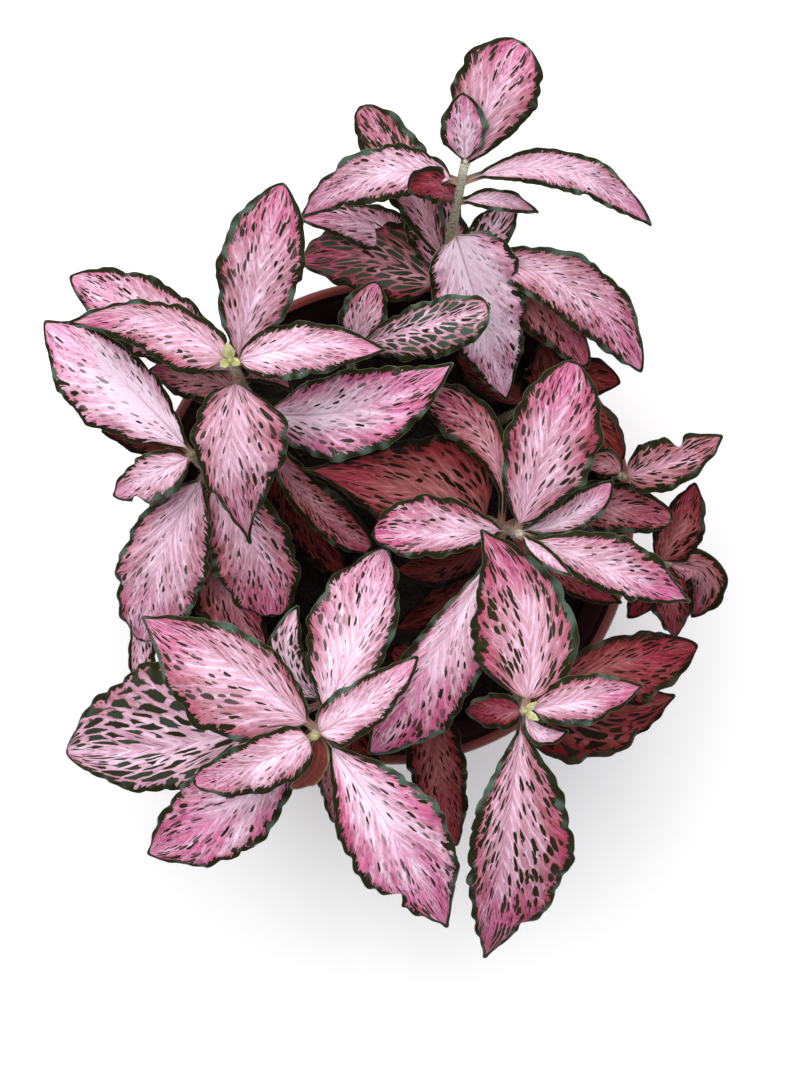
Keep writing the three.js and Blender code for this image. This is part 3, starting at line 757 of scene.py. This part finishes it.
# The eleven leafy stems
# A leaf row: share of the stem that it grows at, tip x, y, z, width, arch, bow to the left, and look. Then,
# where they aren't the usual ones: where it is widest, how pointed it is, how much wider its left half is
# than its right half, notches as (share of the length, width as a share, depth, side), and roll at the tip.
leafyStems = {
    "back": {
        "root": (10, 46), "bend": (10, 46, 128), "tip": (16, 76, 172), "bud": "hidden",
        "leaves": [
            (1.00, 15, 88, 186, 10, 1, 0, "blush", 0.46, 1.5),
            (0.97, 28, 99, 182, 18, 4, 1, "rosy", 0.6, 1.5),
            (0.94, -20, 69, 142, 12, 10, -4, "pale", 0.43, 1.5, 0, ((0.74, 0.03, 1.3, 1),)),
            (0.94, 59, 67, 142, 9, 9, 6, "pale", 0.51, 1.7, 0, ((0.65, 0.03, 0.9, -1),)),
            (0.88, 33, 69, 148, 5, 4, 1, "pale", 0.47, 1.6),
            (0.88, 4, 70, 171, 8, 3, -2, "ruby", 0.5, 1.2),
            (0.80, 28, 30, 107, 21, 1, 0, "cream", 0.3, 1.2, 0.1),
            (0.62, -7, 93, 146, 13, 3, -2, "magenta", 0.6),
            (0.56, 3, 76, 142, 14, 2, -3, "spotted"),
            (0.50, -21, 70, 130, 11, 2, -6, "pale"),
            (0.54, -21, 62, 120, 18, 5, -3, "vivid", 0.35, 0.9),
            (0.62, 60, 36, 114, 15, 8, 9, "rosy", 0.57, 1.9),
            (0.50, 47, 37, 116, 12, 4, 8, "dusky", 0.55, 1.4, -0.2),
            (0.60, 28, 74, 138, 10, 2, -2, "celled"),
        ],
    },
    "left": {
        "root": (-30, 19), "bend": (-32, 28, 132), "tip": (-34, 34, 170), "bud": "spire", "budTurn": 95,
        "leaves": [
            (0.97, -1, 37, 162, 12, 3, 2, "pale", 0.36, 1.4, -0.1),
            (0.96, -70, 43, 160, 13, 4, -5, "rosy", 0.25, 1.2, 0.3, ((0.52, 0.03, 1.0, 1),)),
            (0.88, -22, 70, 182, 18, 4, 0, "rosy", 0.54, 1.7),
            (0.80, -72, 55, 145, 17, 3, -1, "pale", 0.5, 1.6),
            (0.84, -32, -5, 138, 21, 9, -2, "rosy", 0.32, 2.1, 0.2),
            (0.42, 14, 35, 152, 20, 3, -5, "blush", 0.42, 1.8, -0.1),
            (0.76, -22, 29, 148, 5, 1, 3, "dusky"),
            (0.60, -56, 35, 130, 11, 3, -1, "dusky"),
            (0.50, -5, -7, 112, 10, 4, -4, "dusky", 0.69, 1.8, 0.2),
            (0.38, -11, -14, 100, 14, 3, -2, "night"),
        ],
    },
    "left_low": {
        "root": (-37, 3), "bend": (-42, 11, 122), "tip": (-45, 15, 142), "bud": "hidden",
        "leaves": [
            (0.98, -64, 6, 132, 11, 3, 0, "pale", 0.43, 1.4, 0.1, ((0.74, 0.06, 2.2, 1),)),
            (0.90, -78, 45, 144, 19, 4, -2, "cream", 0.53, 1.9, 0.3),
            (0.78, -67, 21, 130, 9, 2, -2, "deep"),
            (0.68, -61, -29, 104, 21, 6, -2, "pale", 0.54, 1.5, 0.1),
            (0.62, -29, -23, 105, 20, 4, 3, "rosy", 0.54, 1, -0.1),
            (0.46, -62, -45, 92, 7, 4, -7, "celled", 0.64, 0.8, 0.2),
            (0.44, -31, -33, 98, 18, 3, -5, "dusky"),
        ],
    },
    "middle": {
        "root": (17, 4), "bend": (27, -2, 128), "tip": (28, -3, 168), "bud": "hidden",
        "leaves": [
            (1.00, 39, -12, 171, 4, 1, 0, "pale", 0.4, 1.5, -0.2),
            (0.74, -4, -3, 146, 14, 4, 0, "flushed", 0.58, 1.5, -0.2),
            (0.94, 67, -18, 148, 13, 5, 0, "flushed", 0.51, 2.4, 0.2, ((0.6, 0.03, 0.9, -1),)),
            (0.88, 39, 34, 172, 20, 3, 0, "flushed", 0.52, 1.4, -0.1),
            (0.76, 50, 9, 146, 8, 3, -3, "pale", 0.58, 1.9, 0.1),
            (0.60, 65, 0, 133, 12, 3, 4, "dusky", 0.58, 1.3),
            (0.60, 54, -19, 126, 7, 2, -2, "wine"),
            (0.56, 8, 30, 128, 12, 4, -7, "dusky", 0.72, 2.1, 0.1),
            (0.66, -5, -54, 128, 18, 6, 1, "blush", 0.63, 2.4, 0.3),
            (0.46, -21, 12, 134, 27, 2, -2, "wine", 0.25, 2, -0.1),
            (0.52, 1, -11, 120, 10, 3, 4, "night"),
            (0.40, 1, -26, 106, 12, 3, 5, "night"),
        ],
    },
    "front_right": {
        "root": (26, -27), "bend": (29, -39, 132), "tip": (29, -41, 166), "bud": "pair", "budTurn": 2,
        "leaves": [
            (0.98, 39, -46, 158, 5, 1, -3, "pale"),
            (0.98, 17, -42, 153, 8, 2, 0, "ruby", 0.4, 1.1),
            (0.97, 55, -36, 160, 11, 4, 0, "flushed", 0.42, 1.7),
            (0.98, 20, -2, 156, 23, 3, -5, "spotted", 0.34, 1.6, 0.1),
            (0.90, 22, -102, 126, 23, 11, 0, "spotted", 0.49, 2.4, 0.3,
             ((0.82, 0.02, 1.7, 1), (0.61, 0.03, 1.0, -1))),
            (0.74, 69, -28, 146, 16, 4, 1, "wine", 0.54, 1.7, -0.2),
            (0.62, 67, -41, 122, 25, 4, -4, "netted", 0.31, 1.6),
        ],
    },
    "front_left": {
        "root": (-12, -30), "bend": (-15, -44, 132), "tip": (-16, -46, 170), "bud": "knob",
        "leaves": [
            (0.98, 6, -29, 170, 11, 2, -1, "pale", 0.27, 1),
            (0.97, -43, -57, 158, 12, 4, 1, "pale", 0.34, 0.8, 0.1),
            (0.92, -22, -59, 152, 5, 3, 3, "turned", 0.44, 1.2),
            (0.90, -54, -21, 160, 23, 3, -2, "rosy", 0.43, 1.9, 0.3),
            (0.88, 13, -93, 136, 23, 8, 2, "blush", 0.51, 2.4, 0, ((0.77, 0.03, 2.3, -1),)),
            (0.78, -1, -6, 140, 19, 5, -1, "pale", 0.51, 1.7, 0.2),
            (0.74, -57, -78, 124, 21, 5, 3, "blush", 0.58, 2.3, 0, ((0.72, 0.03, 1.3, 1),)),
            (0.70, -11, -72, 130, 7, 3, 0, "dusky", 0.5),
            (0.54, -79, -56, 106, 31, 6, 3, "celled", 0.51, 1.5, -0.3),
            (0.44, -4, -84, 106, 10, 4, 3, "deep"),
            (0.54, -22, -20, 120, 9, 2, 6, "celled"),
        ],
    },
    "right": {
        "root": (40, 17), "bend": (40, 17, 118), "tip": (53, 10, 142), "bud": "hidden",
        "leaves": [
            (0.99, 74, 19, 150, 12, 3, -1, "magenta", 0.31, 1.2, 0, ((0.58, 0.05, 3.6, 1),)),
            (0.98, 44, 12, 140, 7, 1, -2, "dusky"),
        ],
    },
    "right_low": {
        "root": (44, -8), "bend": (44, -8, 116), "tip": (66, -10, 121), "bud": "hidden",
        "leaves": [
            (0.94, 71, 9, 128, 11, 3, 0, "wine", 0.35, 1.2, -0.2),
            (0.94, 69, -28, 106, 11, 3, 1, "wine", 0.39, 1.5),
            (0.96, 73, -23, 108, 12, 5, 6, "dusky", 0.44, 1.4, 0.1, (), 60),
            (0.80, 57, -23, 112, 8, 2, 3, "deep"),
        ],
    },
    "back_low": {
        "root": (-10, 34), "bend": (-10, 34, 108), "tip": (-9, 41, 128), "bud": "hidden",
        "leaves": [
            (0.96, 22, 47, 155, 13, 4, 0, "mossy", 0.61, 1.2, -0.2),
            (0.96, -3, 55, 136, 11, 3, 0, "rosy", 0.43),
        ],
    },
    "back_right": {
        "root": (28, 26), "bend": (28, 26, 96), "tip": (36, 30, 101), "bud": "hidden",
        "leaves": [
            (0.95, 56, 34, 104, 12, 3, 3, "deep"),
            (0.95, 56, 15, 111, 11, 4, 3, "deep"),
            (0.80, 16, 42, 93, 10, 3, 0, "night"),
            (0.85, 36, 43, 105, 11, 3, -3, "night"),
        ],
    },
    "front_low": {
        "root": (8, -34), "bend": (8, -34, 104), "tip": (9, -42, 116), "bud": "hidden",
        "leaves": [
            (0.95, 16, -80, 98, 14, 4, -1, "wine", 0.39, 1.2),
            (0.80, 0, -31, 106, 10, 3, -1, "deep"),
        ],
    },
}


def finishPiece(mesh, name, materials, nodes):
    piece = meshObject(name, mesh)
    for material in materials:
        piece.data.materials.append(material)
    piece.data.shade_smooth()
    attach(piece, "root")
    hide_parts(*nodes)
    return piece


def growSprays():
    for index, (name, stem) in enumerate(leafyStems.items()):
        mesh = bmesh.new()
        for layer in ("blade", "veins", "look", "tone"):
            mesh.verts.layers.float_vector.new(layer)
        vary = random.Random(100 + index)
        growStem(mesh, stem, vary)
        for number, row in enumerate(stem["leaves"]):
            growLeaf(mesh, stem, row, index * 1.37 + number * 0.61 + 0.5)
        growBud(mesh, stem, vary)
        piece = finishPiece(mesh, "spray_" + name, skins, ["stem_" + name])
        print("spray", name, "faces", len(piece.data.polygons))


growSprays()


# Compost, and the sizes of the pot that it fills
soilForm = {"top": 80, "bottom": 2.7, "shoulder": 2, "gap": 0.6, "rings": 26, "sides": 96,
            "crumbs": 420, "crumbSize": (0.6, 2.0), "crumbGap": 3,
            "lump": 1.3, "lumps": ((90, 1), (260, 0.5), (700, 0.25))}   # scales and shares of the lumps
# The compost colours are near black: the compost's own dark colour, made darker still as painted shade under
# the leaves
soilSkin = {"dark": (0.005, 0.003, 0.002), "brown": (0.018, 0.009, 0.006), "moss": (0.014, 0.018, 0.006)}
potForm = {
    "height": 100, "rim": 60, "base": 43, "wall": 1.6, "floor": 2.4, "lipHeight": 13, "lipWidth": 2.4,
    "lipStep": 1.6, "sides": 128, "drains": 4, "drainRadius": 5, "drainCircle": 27,
}


def wallRadius(height):
    share = height / (potForm["height"] - potForm["lipHeight"])
    return potForm["base"] + (potForm["rim"] - potForm["lipStep"] - potForm["wall"] - potForm["base"]) * share


def soilMaterial():
    material, tree, shader = newMaterial("soilSkin", Roughness=0.95, Specular_IOR_Level=0.2)
    spot = objectPlace(tree)
    grain = noiseAt(tree, spot, 900, 4, 0.7)
    patches = noiseAt(tree, spot, 60)
    colour = blend(tree, fade(tree, grain, 0.4, 0.7), soilSkin["dark"], soilSkin["brown"])
    mossy = times(tree, fade(tree, patches, 0.55, 0.7), fade(tree, grain, 0.45, 0.6))
    colour = blend(tree, mossy, colour, soilSkin["moss"])
    feed(tree, shader, Base_Color=colour, Normal=bumped(tree, grain, 0.9, 1.0))
    return material


def turnProfile(mesh, profile, sides):
    verts = [mesh.verts.new((radius * mm, 0, height * mm)) for radius, height in profile]
    edges = [mesh.edges.new(pair) for pair in zip(verts, verts[1:])]
    bmesh.ops.spin(mesh, geom=verts + edges, cent=(0, 0, 0), axis=(0, 0, 1), angle=2 * math.pi,
                   steps=sides, use_merge=True)
    bmesh.ops.remove_doubles(mesh, verts=mesh.verts[:], dist=0.01 * mm)
    bmesh.ops.recalc_face_normals(mesh, faces=mesh.faces[:])


def makeSoil():
    form = soilForm
    mesh = bmesh.new()
    shoulder = form["top"] - form["shoulder"]
    inner = [wallRadius(height) - potForm["wall"] - form["gap"] for height in (form["bottom"], shoulder)]
    profile = [(0, form["bottom"]), (inner[0], form["bottom"]), (inner[1], shoulder)]
    profile += [(inner[1] * (1 - step / form["rings"]), form["top"]) for step in range(1, form["rings"])]
    profile.append((0, form["top"]))
    turnProfile(mesh, profile, form["sides"])
    for vert in mesh.verts:
        radius = math.hypot(vert.co.x, vert.co.y)
        if vert.co.z > (form["top"] - 1) * mm:
            lump = sum(noise.noise(vert.co * scale) * share for scale, share in form["lumps"])
            vert.co.z += form["lump"] * mm * lump * min(1, (inner[1] * mm - radius) / (4 * mm))
    vary = random.Random(7)
    for _ in range(form["crumbs"]):
        radius = (inner[1] - form["crumbGap"]) * math.sqrt(vary.random())
        angle = vary.uniform(0, 2 * math.pi)
        size = vary.uniform(*form["crumbSize"])
        place = Vector((radius * math.cos(angle), radius * math.sin(angle), form["top"] + 0.3 * size)) * mm
        turn = Matrix.Rotation(vary.uniform(0, math.pi), 4, vary.choice("XYZ"))
        sides = (size * mm, size * vary.uniform(0.5, 1) * mm, size * vary.uniform(0.4, 0.9) * mm)
        stretch = Matrix.Diagonal((*sides, 1))
        crumb = bmesh.ops.create_icosphere(mesh, subdivisions=1, radius=1,
                                           matrix=Matrix.Translation(place) @ turn @ stretch)["verts"]
        for vert in crumb:
            vert.co += noise.noise_vector(vert.co * 900) * 0.35 * size * mm
    piece = finishPiece(mesh, "compost", [soilMaterial()], ["soil"])
    print("compost faces", len(piece.data.polygons))


makeSoil()


# Pot
# The last colour is painted shade, laid inside the pot below the rim.
potSkin = {"body": (0.165, 0.028, 0.022), "worn": (0.200, 0.045, 0.034), "dust": (0.260, 0.120, 0.090),
           "paintedInnerShade": (0.014, 0.004, 0.003)}


def potMaterial():
    material, tree, shader = newMaterial("potSkin", Specular_IOR_Level=0.45)
    spot = objectPlace(tree)
    patches = noiseAt(tree, spot, 45, 4, 0.6)
    scuffs = noiseAt(tree, stretched(tree, spot, 60, 60, 500), 1.0, 3, 0.7)
    grain = noiseAt(tree, spot, 2200)
    colour = blend(tree, fade(tree, patches, 0.4, 0.75), potSkin["body"], potSkin["worn"])
    dust = times(tree, fade(tree, scuffs, 0.6, 0.8), 0.35)
    colour = blend(tree, dust, colour, potSkin["dust"])
    # painted shade, near black, inside the middle of the wall from just under the rim down
    x, y, z = split(tree, spot)
    radius = work(tree, "SQRT", work(tree, "ADD", times(tree, x, x), times(tree, y, y)))
    lipFoot = potForm["height"] - potForm["lipHeight"]
    slope = (wallRadius(lipFoot) - wallRadius(0)) / lipFoot
    wallMiddle = scaled(tree, z, slope, (potForm["base"] - potForm["wall"] / 2) * mm)
    inLip = work(tree, "GREATER_THAN", z, (lipFoot + 0.03) * mm)
    lipMiddle = times(tree, inLip, (potForm["rim"] - potForm["lipWidth"] / 2 - 0.6) * mm)
    inside = work(tree, "LESS_THAN", radius, work(tree, "MAXIMUM", wallMiddle, lipMiddle))
    below = fade(tree, z, (potForm["height"] - 0.3) * mm, (potForm["height"] - 3.5) * mm)
    colour = blend(tree, times(tree, inside, below, 0.95), colour, potSkin["paintedInnerShade"])
    bumps = bumped(tree, work(tree, "ADD", grain, scuffs), 0.25, 0.15)
    feed(tree, shader, Base_Color=colour, Roughness=scaled(tree, patches, 0.25, 0.36), Normal=bumps)
    return material


def makePot():
    form = potForm
    lipFoot = form["height"] - form["lipHeight"]
    top, rim = form["height"], form["rim"]
    # from the middle of the underside up the outer wall, over the lip, and down to the middle of the floor
    profile = [
        (0, 0), (form["base"] - 1.5, 0), (form["base"] - 0.4, 0.4), (form["base"], 1.5),
        (wallRadius(lipFoot) - 0.3, lipFoot - 1.2), (wallRadius(lipFoot) + 0.2, lipFoot - 0.3),
        (rim - 1.4, lipFoot), (rim - 0.9, lipFoot + 0.4), (rim - 0.7, lipFoot + 1.2),
        (rim - 0.4, top - 3.2), (rim - 0.1, top - 2.6), (rim, top - 1.9), (rim - 0.15, top - 0.9),
        (rim - 0.6, top - 0.3), (rim - 1.2, top), (rim - 1.9, top - 0.2), (rim - 2.4, top - 0.8),
        (rim - 2.6, lipFoot + 2), (wallRadius(lipFoot) - form["wall"], lipFoot - 1),
        (wallRadius(form["floor"]) - form["wall"], form["floor"] + 1),
        (wallRadius(form["floor"]) - form["wall"] - 1, form["floor"]), (0, form["floor"]),
    ]
    mesh = bmesh.new()
    turnProfile(mesh, profile, form["sides"])
    piece = finishPiece(mesh, "nurseryPot", [potMaterial()], ["pot"])
    for index in range(form["drains"]):
        angle = (index + 0.5) / form["drains"] * 2 * math.pi
        place = Vector((form["drainCircle"] * math.cos(angle), form["drainCircle"] * math.sin(angle), 1)) * mm
        cutter = bmesh.new()
        radius = form["drainRadius"] * mm
        bmesh.ops.create_cone(cutter, cap_ends=True, segments=32, radius1=radius, radius2=radius,
                              depth=8 * mm, matrix=Matrix.Translation(place))
        tool = meshObject("drain", cutter)
        cut = piece.modifiers.new("drain", "BOOLEAN")
        cut.operation = "DIFFERENCE"
        cut.object = tool
        cut.solver = "EXACT"
        bpy.context.view_layer.update()
        done = bpy.data.meshes.new_from_object(piece.evaluated_get(bpy.context.evaluated_depsgraph_get()))
        piece.modifiers.clear()
        piece.data = done
        bpy.data.objects.remove(tool)
    piece.data.shade_smooth()
    piece.data.set_sharp_from_angle(angle=math.radians(35))
    print("pot faces", len(piece.data.polygons))


makePot()


# Floor and light
# Lamps are placed and sized in metres.
floorForm = {"half": 3000, "drop": 0.5}
floorSkin = {"pale": (0.97, 0.97, 0.97), "grey": (0.94, 0.94, 0.945)}
lamps = {
    "overhead": {"place": (-0.24, 0.36, 1.5), "size": 1.1, "power": 21, "colour": (1.0, 0.99, 0.98)},
    "fill": {"place": (0.8, 0.5, 1.2), "size": 1.2, "power": 6, "colour": (0.96, 0.98, 1.0)},
}
lampAim = (0, 0, 0.12)
sky = {"colour": (0.93, 0.96, 1.0), "strength": 0.36}


def makeFloor():
    mesh = bmesh.new()
    bmesh.ops.create_grid(mesh, x_segments=1, y_segments=1, size=floorForm["half"] * mm)
    bmesh.ops.translate(mesh, verts=mesh.verts[:], vec=(0, 0, -floorForm["drop"] * mm))
    floor = meshObject("floor", mesh)
    finish = {"Roughness": 0.9, "Specular_IOR_Level": 0.1, "Emission_Strength": 0.10}
    material, tree, shader = newMaterial("floorSkin", **finish)
    cloud = noiseAt(tree, objectPlace(tree), 3)
    feed(tree, shader, Base_Color=blend(tree, cloud, floorSkin["grey"], floorSkin["pale"]))
    floor.data.materials.append(material)


def makeLights():
    for name, lamp in lamps.items():
        light = bpy.data.lights.new(name, "AREA")
        light.shape = "DISK"
        light.size = lamp["size"]
        light.energy = lamp["power"]
        light.color = lamp["colour"]
        lampObject = addObject(name, light)
        lampObject.location = lamp["place"]
        aim = Vector(lampAim) - lampObject.location
        lampObject.rotation_euler = aim.to_track_quat("-Z", "Y").to_euler()
    world = bpy.data.worlds.new("studio")
    world.use_nodes = True
    background = world.node_tree.nodes["Background"]
    background.inputs["Color"].default_value = rgba(sky["colour"])
    background.inputs["Strength"].default_value = sky["strength"]
    scene.world = world
    scene.view_settings.view_transform = "Standard"


makeFloor()
makeLights()
print("floor and lights placed")
